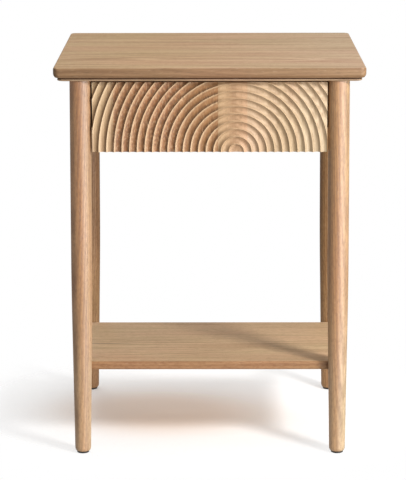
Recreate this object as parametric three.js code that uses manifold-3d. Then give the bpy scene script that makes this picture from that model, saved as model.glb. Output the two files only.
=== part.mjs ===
// One-drawer bedside table in oak: round tapered legs, a low shelf, and a drawer
// front carved with concentric rings. Millimetres, +Z up, the drawer opens along -Y.
// The origin is on the floor under the middle of the top.
import * as THREE from 'three';
import { mergeVertices } from 'three/addons/utils/BufferGeometryUtils.js';
import Module from 'manifold-3d';

const wasm = await Module();
wasm.setup();

// ---------------------------------------------------------------- main sizes
const WIDTH = 453;
const DEPTH = 390;
const HEIGHT = 590;
const FIT = 0.3;            // gap left between two pieces that touch

// top panel
const TOP_THICK = 20;
const TOP_CORNER_R = 9;
const TOP_FACE_LOW = 14;    // height of the round-over under the edge
const TOP_UNDERCUT = 9.7;   // how far the round-over runs inwards
const TOP_UNDER_POWER = 1.8;
const TOP_EDGE_R = 2.2;
const TOP_UNDER_Z = HEIGHT - TOP_THICK;

// legs
const LEG_R = 15.6;
const LEG_FOOT_R = 12;
const LEG_TAPER_Z = 260;    // the taper starts here and runs to the foot
const LEG_FOOT_Z = 9;
const LEG_END_R = 9.6;
const LEG_FRONT_X = 188.4;
const LEG_BACK_X = 193.7;
const LEG_FRONT_Y = -170;
const LEG_BACK_Y = 144;
const LEG_LEAN = 0.0068;    // sideways lean, millimetres per millimetre
const LEG_SEGMENTS = 32;
const SMALL_SEGMENTS = 10;  // screws and their holes

// glide pads
const PAD_R = 9.2;
const PAD_THICK = 3;
const PAD_PIN_R = 1.6;
const PAD_PIN_LONG = 11;

// frame under the top
const APRON_THICK = 18;
const APRON_HIGH = 75;
const APRON_X = 188.5;
const APRON_TOP = TOP_UNDER_Z - FIT;
const TENON_THICK = 7;
const TENON_HIGH = 50;
const TENON_IN = 9;         // how deep the tenon goes past the face of the leg
const RAIL_THICK = 15;
const RAIL_FRONT = -152;
const RAIL_BACK = -104;

// lower shelf and the stretchers that carry it
const SHELF_TOP = 140;
const SHELF_THICK = 13;
const SHELF_FRONT = -162;
const SHELF_BACK = 54;
const SHELF_HALF = 198;
const SHELF_EDGE_R = 2.2;
const STRETCH_THICK = 12;
const STRETCH_HIGH = 24;
const STRETCH_X = 194;

// drawer
const FRONT_HALF = 171.3;
const FRONT_THICK = 20;
const FRONT_Y = -180.5;     // the tips of the carved ridges
const FRONT_BOTTOM = 464;
const FRONT_TOP = TOP_UNDER_Z - 3;
const RING_PITCH = 11.18;
const RING_DEPTH = 3.4;
const RING_X = 38.8;
const RING_Z = 465;
const RING_STEPS = 4;
const RING_SEGMENTS = 60;
const BOX_HALF = 159.6;
const BOX_WALL = 12;
const BOX_LOW = 476;
const BOX_HIGH = 546;
const BOX_BACK = 98;
const BOTTOM_THICK = 5;
const BOTTOM_Z = 484;
const GROOVE = 5;

// drawer slides
const PACK_INNER = 172.7;
const SLIDE_Z = 511;
const SLIDE_FRONT = -150;
const SLIDE_BACK = 96;
const SHEET = 1.2;

// ---------------------------------------------------------------- helpers
const group = new THREE.Group();
group.name = 'bedside_table';

function assembly(name) {
  const made = new THREE.Group();
  made.name = name;
  group.add(made);
  return made;
}

const TABLE = assembly('table_frame');
const DRAWER = assembly('drawer_unit');
const SLIDES = assembly('slide_pairs');

const OAK = { color: 0xc79c72, roughness: 0.62, metalness: 0 };
const OAK_DARK = { color: 0xb98b62, roughness: 0.66, metalness: 0 };
const OAK_LIGHT = { color: 0xd9b68c, roughness: 0.6, metalness: 0 };
const BIRCH = { color: 0xd9bd95, roughness: 0.62, metalness: 0 };
const STEEL = { color: 0xb9bcc0, roughness: 0.35, metalness: 1 };
const PLASTIC = { color: 0x2a2725, roughness: 0.55, metalness: 0 };

// a manifold solid from a three.js geometry
function solid(geometry) {
  const bare = geometry.index ? geometry.toNonIndexed() : geometry.clone();
  bare.deleteAttribute('normal');
  bare.deleteAttribute('uv');
  const merged = mergeVertices(bare, 1e-4);
  return new wasm.Manifold(new wasm.Mesh({
    numProp: 3,
    vertProperties: new Float32Array(merged.attributes.position.array),
    triVerts: new Uint32Array(merged.index.array),
  }));
}

// a three.js geometry from a manifold solid
function geometryOf(body) {
  const mesh = body.getMesh();
  const geometry = new THREE.BufferGeometry();
  const points = new Float32Array(mesh.numVert * 3);
  for (let i = 0; i < mesh.numVert; i += 1) {
    for (let k = 0; k < 3; k += 1) {
      points[i * 3 + k] = mesh.vertProperties[i * mesh.numProp + k];
    }
  }
  geometry.setAttribute('position', new THREE.BufferAttribute(points, 3));
  geometry.setIndex(new THREE.BufferAttribute(new Uint32Array(mesh.triVerts), 1));
  geometry.computeVertexNormals();
  return geometry;
}

// a mesh whose own origin is the middle of its box, placed in its assembly
function add(parent, name, body, look) {
  const geometry = geometryOf(body);
  geometry.computeBoundingBox();
  const middle = geometry.boundingBox.getCenter(new THREE.Vector3());
  geometry.translate(-middle.x, -middle.y, -middle.z);
  const mesh = new THREE.Mesh(geometry, new THREE.MeshStandardMaterial(look));
  mesh.name = name;
  mesh.position.copy(middle);
  parent.add(mesh);
}

// a plain block between two corners
function block(x0, y0, z0, x1, y1, z1) {
  const geometry = new THREE.BoxGeometry(Math.abs(x1 - x0), Math.abs(y1 - y0), Math.abs(z1 - z0));
  geometry.translate((x0 + x1) / 2, (y0 + y1) / 2, (z0 + z1) / 2);
  return solid(geometry);
}

// a board with its four long edges broken by a small round, running along one axis
function board(x0, y0, z0, x1, y1, z1, r, along) {
  const size = new THREE.Vector3(Math.abs(x1 - x0), Math.abs(y1 - y0), Math.abs(z1 - z0));
  const wide = along === 'x' ? size.y : size.x;
  const high = along === 'z' ? size.y : size.z;
  const long = size[along];
  const geometry = new THREE.ExtrudeGeometry(roundedRect(wide, high, r), {
    depth: long,
    bevelEnabled: false,
    curveSegments: 2,
  });
  geometry.translate(0, 0, -long / 2);
  if (along === 'y') {
    geometry.rotateX(Math.PI / 2);
  }
  if (along === 'x') {
    geometry.rotateX(Math.PI / 2);
    geometry.rotateZ(Math.PI / 2);
  }
  geometry.translate((x0 + x1) / 2, (y0 + y1) / 2, (z0 + z1) / 2);
  return solid(geometry);
}

function roundedRect(wide, high, r) {
  const shape = new THREE.Shape();
  const a = wide / 2;
  const b = high / 2;
  shape.moveTo(-a + r, -b);
  shape.lineTo(a - r, -b);
  shape.absarc(a - r, -b + r, r, -Math.PI / 2, 0, false);
  shape.lineTo(a, b - r);
  shape.absarc(a - r, b - r, r, 0, Math.PI / 2, false);
  shape.lineTo(-a + r, b);
  shape.absarc(-a + r, b - r, r, Math.PI / 2, Math.PI, false);
  shape.lineTo(-a, -b + r);
  shape.absarc(-a + r, -b + r, r, Math.PI, Math.PI * 1.5, false);
  return shape;
}

// a turned solid about the vertical axis; the profile is a list of [radius, height]
function turned(profile, segments) {
  const points = profile.map(([r, z]) => new THREE.Vector2(r, z));
  const geometry = new THREE.LatheGeometry(points, segments);
  geometry.rotateX(Math.PI / 2);
  return solid(geometry);
}

// a countersunk wood screw with its head at the origin and its tip along -Z
const SCREW_HEAD_R = 3.6;
const SCREW_HEAD_DEEP = 2.4;
const SCREW_SHANK_R = 1.9;
function screw(long, grow) {
  return turned([
    [0, -long - grow],
    [SCREW_SHANK_R * 0.4 + grow, -long + 2 - grow],
    [SCREW_SHANK_R + grow, -long + 6],
    [SCREW_SHANK_R + grow, -SCREW_HEAD_DEEP - grow],
    [SCREW_HEAD_R + grow, -0.4],
    [SCREW_HEAD_R + grow, grow * 4],
    [0, grow * 4],
  ], SMALL_SEGMENTS);
}

// ---------------------------------------------------------------- legs
// the turned leg, standing at the origin
function legBlank(grow) {
  return turned([
    [0, PAD_THICK + FIT - grow],
    [LEG_END_R + grow, PAD_THICK + FIT - grow],
    [LEG_FOOT_R - 0.7 + grow, PAD_THICK + 2],
    [LEG_FOOT_R + grow, LEG_FOOT_Z],
    [LEG_R - 0.5 + grow, LEG_TAPER_Z - 40],
    [LEG_R + grow, LEG_TAPER_Z + 30],
    [LEG_R + grow, TOP_UNDER_Z - FIT + grow],
    [0, TOP_UNDER_Z - FIT + grow],
  ], LEG_SEGMENTS);
}

// leaned outwards: x grows downwards from the underside of the top
function leaned(body, side, x, y) {
  const matrix = new THREE.Matrix4().set(
    1, 0, -side * LEG_LEAN, side * (x + LEG_LEAN * TOP_UNDER_Z),
    0, 1, 0, y,
    0, 0, 1, 0,
    0, 0, 0, 1,
  );
  return body.transform(matrix.elements);
}

const LEGS = [
  ['front_left', -1, LEG_FRONT_X, LEG_FRONT_Y, 1],
  ['front_right', 1, LEG_FRONT_X, LEG_FRONT_Y, 1],
  ['back_left', -1, LEG_BACK_X, LEG_BACK_Y, -1],
  ['back_right', 1, LEG_BACK_X, LEG_BACK_Y, -1],
];

const allLegsGrown = LEGS.map(([, side, x, y]) => leaned(legBlank(FIT), side, x, y));
const trimByLegs = (body) => allLegsGrown.reduce((rest, leg) => rest.subtract(leg), body);

const footX = (x) => x + LEG_LEAN * TOP_UNDER_Z;

function pad(grow) {
  return turned([
    [0, -grow],
    [PAD_R - 0.8 + grow, -grow],
    [PAD_R + grow, 0.8],
    [PAD_R + grow, PAD_THICK + grow],
    [PAD_PIN_R + grow, PAD_THICK + grow],
    [PAD_PIN_R + grow, PAD_THICK + PAD_PIN_LONG - 1.5],
    [0, PAD_THICK + PAD_PIN_LONG + grow],
  ], 20);
}

// the tenons that enter each leg, as blocks on the frame and stretcher ends
const TENON_Z = APRON_TOP - APRON_HIGH / 2;
const STRETCH_TOP = SHELF_TOP - SHELF_THICK - FIT;
const STRETCH_Z = STRETCH_TOP - STRETCH_HIGH + 8;
const STRETCH_TENON_HIGH = 12;
const STRETCH_REAR_TOP = 118;   // behind the shelf the stretcher steps down, out of sight
const STRETCH_STEP_Y = SHELF_BACK + 3;

function sideTenon(side, y, inward, centreX, centreZ, high, grow) {
  const reach = y + inward * (LEG_R - TENON_IN);
  const start = y + inward * (LEG_R + 6);
  return block(
    side * centreX - TENON_THICK / 2 - grow,
    Math.min(reach, start) - (inward > 0 ? grow : 0),
    centreZ - high / 2 - grow,
    side * centreX + TENON_THICK / 2 + grow,
    Math.max(reach, start) + (inward < 0 ? grow : 0),
    centreZ + high / 2 + grow,
  );
}

function backTenon(side, grow) {
  const reach = LEG_BACK_X - LEG_R + TENON_IN - 2;
  const start = LEG_BACK_X - LEG_R - 6;
  return block(
    side * start,
    LEG_BACK_Y - TENON_THICK / 2 - grow,
    TENON_Z - TENON_HIGH / 2 - grow,
    side * (reach + grow),
    LEG_BACK_Y + TENON_THICK / 2 + grow,
    TENON_Z + TENON_HIGH / 2 + grow,
  );
}

for (const [place, side, x, y, inward] of LEGS) {
  let leg = leaned(legBlank(0), side, x, y);
  leg = leg.subtract(sideTenon(side, y, inward, APRON_X, TENON_Z, TENON_HIGH, FIT));
  leg = leg.subtract(sideTenon(side, y, inward, STRETCH_X, STRETCH_Z, STRETCH_TENON_HIGH, FIT));
  if (inward < 0) {
    leg = leg.subtract(backTenon(side, FIT));
  }
  leg = leg.subtract(pad(FIT).translate([side * footX(x), y, 0]));
  add(TABLE, `leg_${place}`, leg, OAK);
  add(TABLE, `glide_pad_${place}`, pad(0).translate([side * footX(x), y, 0]), PLASTIC);
}

// ---------------------------------------------------------------- top panel
// stacked outlines of the edge: [inset, height], the round-over, the face and a quarter round
const UNDER_STEPS = 5;
const ARRIS_STEPS = 3;
const TOP_EDGE = [];
for (let i = 0; i <= UNDER_STEPS; i += 1) {
  const t = i / UNDER_STEPS;
  TOP_EDGE.push([TOP_UNDERCUT * (1 - t) ** TOP_UNDER_POWER, TOP_FACE_LOW * t]);
}
for (let i = 0; i <= ARRIS_STEPS; i += 1) {
  const angle = i / ARRIS_STEPS * Math.PI / 2;
  const drop = TOP_EDGE_R * (1 - Math.sin(angle));
  TOP_EDGE.push([TOP_EDGE_R * (1 - Math.cos(angle)), TOP_THICK - drop]);
}

function outline(inset, perCorner) {
  const r = Math.max(TOP_CORNER_R - inset, 2);
  const a = WIDTH / 2 - inset - r;
  const b = DEPTH / 2 - inset - r;
  const points = [];
  for (let corner = 0; corner < 4; corner += 1) {
    const cx = corner === 0 || corner === 3 ? a : -a;
    const cy = corner < 2 ? b : -b;
    for (let i = 0; i <= perCorner; i += 1) {
      const angle = (corner + i / perCorner) * Math.PI / 2;
      points.push([cx + r * Math.cos(angle), cy + r * Math.sin(angle)]);
    }
  }
  return points;
}

function stacked(layers, z0) {
  const rings = layers.map(([inset, z]) => outline(inset, 6).map(([x, y]) => [x, y, z0 + z]));
  const count = rings[0].length;
  const points = rings.flat(2);
  const low = rings.length * count;
  points.push(0, 0, z0 + layers[0][1]);
  points.push(0, 0, z0 + layers[layers.length - 1][1]);
  const faces = [];
  for (let i = 0; i < count; i += 1) {
    const j = (i + 1) % count;
    faces.push(low, j, i);
    faces.push(low + 1, (rings.length - 1) * count + i, (rings.length - 1) * count + j);
    for (let k = 0; k < rings.length - 1; k += 1) {
      const a = k * count;
      const b = (k + 1) * count;
      faces.push(a + i, a + j, b + j);
      faces.push(a + i, b + j, b + i);
    }
  }
  const geometry = new THREE.BufferGeometry();
  geometry.setAttribute('position', new THREE.Float32BufferAttribute(points, 3));
  geometry.setIndex(faces);
  return solid(geometry);
}

let top = stacked(TOP_EDGE, TOP_UNDER_Z);

// ---------------------------------------------------------------- frame under the top
const APRON_LOW = APRON_TOP - APRON_HIGH;
const INNER_X = APRON_X - APRON_THICK / 2;
const BACK_INNER_Y = LEG_BACK_Y - APRON_THICK / 2;
const CORNER_LEG = 34;
const CORNER_LOW = APRON_LOW + 12;
const CORNER_TOP = APRON_TOP - 8;

// steel angle brackets hold the top: [name, x, y, turn about Z]
const BRACKET_LONG = 18;
const BRACKET_WIDE = 16;
const BRACKET_SHEET = 1.6;
const BRACKETS = [
  ['left', -(INNER_X - FIT), 30, 0],
  ['right', INNER_X - FIT, 30, Math.PI],
  ['back_left', -80, BACK_INNER_Y - FIT, -Math.PI / 2],
  ['back_right', 80, BACK_INNER_Y - FIT, -Math.PI / 2],
];

function placed(body, x, y, turn) {
  const degrees = turn * 180 / Math.PI;
  return body.rotate([0, 0, degrees]).translate([x, y, APRON_TOP]);
}

const BRACKET_HOLE = SCREW_SHANK_R + FIT;
// the bracket stands at the origin: one leaf up against x = 0, one under z = 0
function bracket() {
  const upright = block(0, -BRACKET_WIDE / 2, -BRACKET_LONG, BRACKET_SHEET, BRACKET_WIDE / 2, 0);
  const flat = block(0, -BRACKET_WIDE / 2, -BRACKET_SHEET, BRACKET_LONG, BRACKET_WIDE / 2, 0);
  const drill = new THREE.CylinderGeometry(BRACKET_HOLE, BRACKET_HOLE, 8, SMALL_SEGMENTS);
  drill.rotateX(Math.PI / 2);
  const up = solid(drill).translate([BRACKET_LONG * 0.62, 0, 0]);
  const across = solid(drill).rotate([0, 90, 0]).translate([0, 0, -BRACKET_LONG * 0.62]);
  return upright.add(flat).subtract(up).subtract(across);
}

// a pan-head screw, head under the leaf and shank through it
const PAN_R = 3.6;
const PAN_HIGH = 2;
function panScrew(long, grow) {
  return turned([
    [0, long + grow],
    [SCREW_SHANK_R * 0.4 + grow, long - 2],
    [SCREW_SHANK_R + grow, long - 5],
    [SCREW_SHANK_R + grow, -grow],
    [PAN_R + grow, -grow],
    [PAN_R - 0.4 + grow, -PAN_HIGH * 0.7],
    [PAN_R * 0.6, -PAN_HIGH - grow],
    [0, -PAN_HIGH - grow],
  ].reverse(), SMALL_SEGMENTS);
}
const upScrew = (grow) => panScrew(13, grow).translate([
  BRACKET_LONG * 0.62, 0, -BRACKET_SHEET - FIT]);
const sideScrew = (grow) => panScrew(13, grow).rotate([0, -90, 0]).translate([
  BRACKET_SHEET + FIT, 0, -BRACKET_LONG * 0.62]);

// front rail: screwed up into the top
const RAIL_SCREWS = [-90, 90];
const railScrew = (grow, x) => screw(24, grow).rotate([180, 0, 0]).translate([
  x, (RAIL_FRONT + RAIL_BACK) / 2, APRON_TOP - RAIL_THICK]);

// shelf screws, driven up through the stretchers: [name, y]
const SHELF_SCREWS = [['front', -110], ['rear', 10]];
const SHELF_SCREW_LONG = 33;
const shelfScrew = (grow, side, y) => screw(SHELF_SCREW_LONG, grow).rotate([180, 0, 0]).translate([
  side * STRETCH_X, y, STRETCH_TOP - STRETCH_HIGH]);

const sides = [-1, 1];
const sideName = (side) => (side < 0 ? 'left' : 'right');

for (const side of sides) {
  let apron = board(
    side * (APRON_X - APRON_THICK / 2), LEG_FRONT_Y, APRON_LOW,
    side * (APRON_X + APRON_THICK / 2), LEG_BACK_Y, APRON_TOP, 1.5, 'y');
  apron = trimByLegs(apron.subtract(block(
    side * (APRON_X - 12), LEG_FRONT_Y - 20, APRON_LOW - 1,
    side * (APRON_X + 12), LEG_FRONT_Y, APRON_TOP + 1)));
  for (const [, legSide, , y, inward] of LEGS) {
    if (legSide === side) {
      apron = apron.add(sideTenon(side, y, inward, APRON_X, TENON_Z, TENON_HIGH, 0));
    }
  }
  const name = sideName(side);
  for (const [, x, y, turn] of BRACKETS.filter(([place]) => place === name)) {
    apron = apron.subtract(placed(sideScrew(FIT), x, y, turn));
  }
  add(TABLE, `side_apron_${name}`, apron, OAK_DARK);

  let stretcher = board(
    side * (STRETCH_X - STRETCH_THICK / 2), LEG_FRONT_Y, STRETCH_TOP - STRETCH_HIGH,
    side * (STRETCH_X + STRETCH_THICK / 2), LEG_BACK_Y, STRETCH_TOP, 2.5, 'y');
  stretcher = trimByLegs(stretcher);
  stretcher = stretcher.subtract(block(
    side * (STRETCH_X - STRETCH_THICK), STRETCH_STEP_Y, STRETCH_REAR_TOP,
    side * (STRETCH_X + STRETCH_THICK), LEG_BACK_Y, STRETCH_TOP + 1));
  for (const [, legSide, , y, inward] of LEGS) {
    if (legSide === side) {
      stretcher = stretcher.add(
        sideTenon(side, y, inward, STRETCH_X, STRETCH_Z, STRETCH_TENON_HIGH, 0));
    }
  }
  for (const [, y] of SHELF_SCREWS) {
    stretcher = stretcher.subtract(shelfScrew(FIT, side, y));
  }
  add(TABLE, `shelf_stretcher_${name}`, stretcher, OAK_DARK);
}

// back apron
let backApron = board(
  -LEG_BACK_X, LEG_BACK_Y - APRON_THICK / 2, APRON_LOW,
  LEG_BACK_X, LEG_BACK_Y + APRON_THICK / 2, APRON_TOP, 1.5, 'x');
backApron = trimByLegs(backApron);
for (const side of sides) {
  backApron = backApron.subtract(block(
    side * (INNER_X - FIT), LEG_BACK_Y - 12, APRON_LOW - 1,
    side * (LEG_BACK_X + 30), LEG_BACK_Y + 12, APRON_TOP + 1));
  backApron = backApron.add(backTenon(side, 0));
}
for (const [place, x, y, turn] of BRACKETS) {
  if (place.startsWith('back')) {
    backApron = backApron.subtract(placed(sideScrew(FIT), x, y, turn));
  }
}
add(TABLE, 'back_apron', backApron, OAK_DARK);

// front rail under the top
let rail = board(
  -(INNER_X - FIT), RAIL_FRONT, APRON_TOP - RAIL_THICK,
  INNER_X - FIT, RAIL_BACK, APRON_TOP, 1.5, 'x');
rail = trimByLegs(rail);
for (const x of RAIL_SCREWS) {
  rail = rail.subtract(railScrew(FIT, x));
  top = top.subtract(railScrew(FIT, x));
  add(TABLE, `rail_screw_${x < 0 ? 'left' : 'right'}`, railScrew(0, x), STEEL);
}
add(TABLE, 'front_top_rail', rail, OAK_DARK);

for (const [place, x, y, turn] of BRACKETS) {
  add(TABLE, `top_bracket_${place}`, placed(bracket(), x, y, turn), STEEL);
  add(TABLE, `top_screw_${place}`, placed(upScrew(0), x, y, turn), STEEL);
  add(TABLE, `apron_screw_${place}`, placed(sideScrew(0), x, y, turn), STEEL);
  top = top.subtract(placed(upScrew(FIT), x, y, turn));
}
add(TABLE, 'top_panel', top, OAK);

// glue blocks in the back corners
for (const side of sides) {
  const shape = new THREE.Shape();
  shape.moveTo(0, 0);
  shape.lineTo(-side * CORNER_LEG, 0);
  shape.lineTo(-side * CORNER_LEG, -5);
  shape.lineTo(-side * 5, -CORNER_LEG);
  shape.lineTo(0, -CORNER_LEG);
  const geometry = new THREE.ExtrudeGeometry(shape, {
    depth: CORNER_TOP - CORNER_LOW,
    bevelEnabled: false,
  });
  geometry.translate(side * (INNER_X - FIT), BACK_INNER_Y - FIT, CORNER_LOW);
  add(TABLE, `corner_block_${sideName(side)}`, trimByLegs(solid(geometry)), OAK_DARK);
}

// ---------------------------------------------------------------- lower shelf
let shelf = board(
  -SHELF_HALF, SHELF_FRONT, SHELF_TOP - SHELF_THICK,
  SHELF_HALF, SHELF_BACK, SHELF_TOP, SHELF_EDGE_R, 'x');
shelf = trimByLegs(shelf);
for (const side of sides) {
  for (const [place, y] of SHELF_SCREWS) {
    shelf = shelf.subtract(shelfScrew(FIT, side, y));
    add(TABLE, `shelf_screw_${place}_${sideName(side)}`, shelfScrew(0, side, y), STEEL);
  }
}
add(TABLE, 'lower_shelf', shelf, OAK);

// ---------------------------------------------------------------- drawer
// carved front: concentric hollows turned about a point on the lower edge
const ringReach = Math.ceil((FRONT_HALF + RING_X) / RING_PITCH) + 1;
const profile = [[0, -FRONT_THICK], [ringReach * RING_PITCH, -FRONT_THICK]];
for (let n = ringReach; n > 0; n -= 1) {
  for (let i = 0; i < RING_STEPS; i += 1) {
    const t = i / RING_STEPS;
    const hollow = n === 1 ? Math.sqrt(1 - (1 - t) ** 2) : 1 - (2 * t - 1) ** 2;
    profile.push([(n - t) * RING_PITCH, -RING_DEPTH * hollow]);
  }
}
profile.push([0, -RING_DEPTH]);
const disc = turned(profile, RING_SEGMENTS)
  .rotate([90, 0, 0])
  .translate([RING_X, FRONT_Y, RING_Z]);
let carved = disc.intersect(block(
  -FRONT_HALF, FRONT_Y - 5, FRONT_BOTTOM, FRONT_HALF, FRONT_Y + FRONT_THICK + 5, FRONT_TOP));

const BOX_FRONT = FRONT_Y + FRONT_THICK + FIT;
const BOX_IN = BOX_HALF - BOX_WALL;
const panel = (grow) => block(
  -(BOX_IN + GROOVE - FIT) - grow, BOX_FRONT + BOX_WALL - GROOVE + FIT - grow, BOTTOM_Z - grow,
  BOX_IN + GROOVE - FIT + grow, BOX_BACK - FIT + grow * 9, BOTTOM_Z + BOTTOM_THICK + grow);
const FRONT_SCREWS = [-100, 100];
const frontScrew = (grow, x) => screw(25, grow).rotate([90, 0, 0]).translate([
  x, BOX_FRONT + BOX_WALL, (BOX_LOW + BOX_HIGH) / 2 + 4]);

for (const side of sides) {
  let wall = board(
    side * BOX_IN, BOX_FRONT, BOX_LOW, side * BOX_HALF, BOX_BACK, BOX_HIGH, 1.2, 'y');
  wall = wall.subtract(panel(FIT));
  add(DRAWER, `drawer_side_${sideName(side)}`, wall, BIRCH);
}
let boxFront = board(
  -(BOX_IN - FIT), BOX_FRONT, BOX_LOW, BOX_IN - FIT, BOX_FRONT + BOX_WALL, BOX_HIGH, 1.2, 'x');
boxFront = boxFront.subtract(panel(FIT));
for (const x of FRONT_SCREWS) {
  boxFront = boxFront.subtract(frontScrew(FIT, x));
  carved = carved.subtract(frontScrew(FIT, x));
  add(DRAWER, `front_screw_${x < 0 ? 'left' : 'right'}`, frontScrew(0, x), STEEL);
}
add(DRAWER, 'drawer_box_front', boxFront, BIRCH);
add(DRAWER, 'drawer_front', carved, OAK_LIGHT);
add(DRAWER, 'drawer_back', board(
  -(BOX_IN - FIT), BOX_BACK - BOX_WALL, BOTTOM_Z + BOTTOM_THICK + FIT,
  BOX_IN - FIT, BOX_BACK, BOX_HIGH, 1.2, 'x'), BIRCH);
add(DRAWER, 'drawer_bottom', panel(0), BIRCH);

// ---------------------------------------------------------------- slides
// a channel section in the X-Z plane, open towards the middle or away from it
function channel(side, webX, reachX, halfHigh, y0, y1) {
  const inner = side * webX;
  const outer = side * (webX + SHEET);
  const web = block(inner, y0, SLIDE_Z - halfHigh, outer, y1, SLIDE_Z + halfHigh);
  let body = web;
  for (const up of [-1, 1]) {
    body = body.add(block(
      Math.min(inner, side * reachX), y0, SLIDE_Z + up * (halfHigh - SHEET),
      Math.max(outer, side * reachX), y1, SLIDE_Z + up * halfHigh));
  }
  return body;
}

const PACK_HIGH = 32;
const SLIDE_MEMBERS = [
  // [name, web, flange tip, half height]
  ['fixed', PACK_INNER - FIT - SHEET, 164, 17.5],
  ['middle', 168, 162.6, 14.4],
  ['moving', BOX_HALF + FIT, 166.4, 11.4],
];
for (const side of sides) {
  const name = sideName(side);
  add(TABLE, `slide_packer_${name}`, block(
    side * PACK_INNER, SLIDE_FRONT, SLIDE_Z - PACK_HIGH / 2,
    side * (INNER_X - FIT), SLIDE_BACK, SLIDE_Z + PACK_HIGH / 2), OAK_DARK);
  for (const [member, web, tip, half] of SLIDE_MEMBERS) {
    add(SLIDES, `slide_${member}_${name}`,
      channel(side, web, tip, half, SLIDE_FRONT + 2, SLIDE_BACK - 2), STEEL);
  }
}

export default group;
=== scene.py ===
"""Looks of the one-drawer oak bedside table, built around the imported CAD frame.

Lengths are in metres. Sizes of the table are written in millimetres inside mm(), or are
marked as millimetres beside the number.
"""
import math

import bmesh
import bpy
from mathutils import Matrix, Vector, noise


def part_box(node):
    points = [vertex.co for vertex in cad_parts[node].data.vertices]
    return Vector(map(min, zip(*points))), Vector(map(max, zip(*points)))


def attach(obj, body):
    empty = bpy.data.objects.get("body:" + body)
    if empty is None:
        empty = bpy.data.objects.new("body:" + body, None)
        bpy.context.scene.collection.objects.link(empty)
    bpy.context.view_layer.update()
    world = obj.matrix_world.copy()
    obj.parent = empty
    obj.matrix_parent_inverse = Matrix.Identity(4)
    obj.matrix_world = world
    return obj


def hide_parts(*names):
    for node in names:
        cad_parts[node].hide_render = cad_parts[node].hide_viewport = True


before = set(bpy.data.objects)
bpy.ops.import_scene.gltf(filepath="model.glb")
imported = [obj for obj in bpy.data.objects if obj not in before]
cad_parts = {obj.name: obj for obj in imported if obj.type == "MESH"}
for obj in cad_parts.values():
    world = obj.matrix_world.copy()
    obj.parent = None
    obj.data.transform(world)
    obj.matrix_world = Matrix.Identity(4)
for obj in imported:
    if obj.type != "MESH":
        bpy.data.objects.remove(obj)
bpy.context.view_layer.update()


def mm(value):
    return value * 0.001


def tinted(colour, tint):
    return tuple(c * t for c, t in zip(colour, tint))


# ------------------------------------------------------------------ studio
# Camera: a long lens that looks down a little at the table.
CAMERA_PLACE = (0.0014, -3.0162, 1.0139)
CAMERA_PITCH = 0.2177
CAMERA_YAW = 0.0040
CAMERA_ROLL = -0.0018
CAMERA_LENS = 148.25
CAMERA_SENSOR = 36.0
CAMERA_SHIFT_Y = -0.075
CAMERA_FAR = 50.0

# name: (place, width, height, power); each light is a soft rectangle that looks at AIM
LIGHTS = {
    "key": ((1.45, -1.45, 1.50), 0.45, 0.45, 46.0),
    "side": ((1.90, -0.75, 0.60), 0.9, 1.4, 10.2),
    "overhead": ((0.10, 0.25, 2.10), 1.6, 1.2, 11.2),
    "behind": ((-1.10, 1.90, 1.00), 1.4, 1.2, 6.0),
    "bounce": ((1.05, -1.45, 0.10), 1.2, 0.5, 19.7),
}
AIM = (0.0, 0.0, 0.33)
SKY_STRENGTH = 0.40
WHITE = (1.0, 1.0, 1.0, 1.0)

FLOOR_COLOUR = (0.94, 0.93, 0.925, 1.0)
FLOOR_WARM_SHADOW = (0.80, 0.70, 0.625, 1.0)    # painted shadow under the table, darker and warm as light tinted by the wood would make it
FLOOR_WARM_SHADOW_MIDDLE = (-0.09, 0.02, 0.0)
FLOOR_WARM_SHADOW_STRETCH = (1.1, 1.8, 1.0)
FLOOR_WARM_SHADOW_FROM = 0.08
FLOOR_WARM_SHADOW_TO = 0.27
FLOOR_GLOW = 0.21
FLOOR_MIDDLE = (-0.03, 0.05, 0.0)
FLOOR_STRETCH = (1.0, 1.3, 1.0)
FLOOR_FADE_FROM = 0.12
FLOOR_FADE_TO = 0.46
FLOOR_RADIUS = 0.8
FLOOR_SIDES = 64
FLOOR_ROUGH = 0.9
FLOOR_GLOSS = 0.1


def make_camera():
    data = bpy.data.cameras.new("camera")
    data.lens = CAMERA_LENS
    data.sensor_width = CAMERA_SENSOR
    data.shift_y = CAMERA_SHIFT_Y
    data.clip_end = CAMERA_FAR
    camera = bpy.data.objects.new("camera", data)
    turn = Matrix.Rotation(CAMERA_YAW, 4, "Z")
    tilt = Matrix.Rotation(math.pi / 2 - CAMERA_PITCH, 4, "X")
    roll = Matrix.Rotation(CAMERA_ROLL, 4, "Z")
    camera.matrix_world = Matrix.Translation(CAMERA_PLACE) @ turn @ tilt @ roll
    bpy.context.scene.collection.objects.link(camera)
    bpy.context.scene.camera = camera


def make_light(name):
    place, width, height, power = LIGHTS[name]
    data = bpy.data.lights.new(name, "AREA")
    data.shape = "RECTANGLE"
    data.size = width
    data.size_y = height
    data.energy = power
    light = bpy.data.objects.new(name, data)
    light.location = place
    light.rotation_mode = "QUATERNION"
    light.rotation_quaternion = (Vector(AIM) - Vector(place)).to_track_quat("-Z", "Y")
    bpy.context.scene.collection.objects.link(light)


def make_world():
    world = bpy.data.worlds.new("studio")
    bpy.context.scene.world = world
    world.use_nodes = True
    nodes, links = world.node_tree.nodes, world.node_tree.links
    nodes.clear()
    seen = nodes.new("ShaderNodeBackground")
    seen.inputs["Strength"].default_value = 1.0
    seen.inputs["Color"].default_value = WHITE
    glow = nodes.new("ShaderNodeBackground")
    glow.inputs["Strength"].default_value = SKY_STRENGTH
    glow.inputs["Color"].default_value = WHITE
    path = nodes.new("ShaderNodeLightPath")
    mix = nodes.new("ShaderNodeMixShader")
    out = nodes.new("ShaderNodeOutputWorld")
    links.new(path.outputs["Is Camera Ray"], mix.inputs["Fac"])
    links.new(glow.outputs[0], mix.inputs[1])
    links.new(seen.outputs[0], mix.inputs[2])
    links.new(mix.outputs[0], out.inputs["Surface"])


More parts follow.
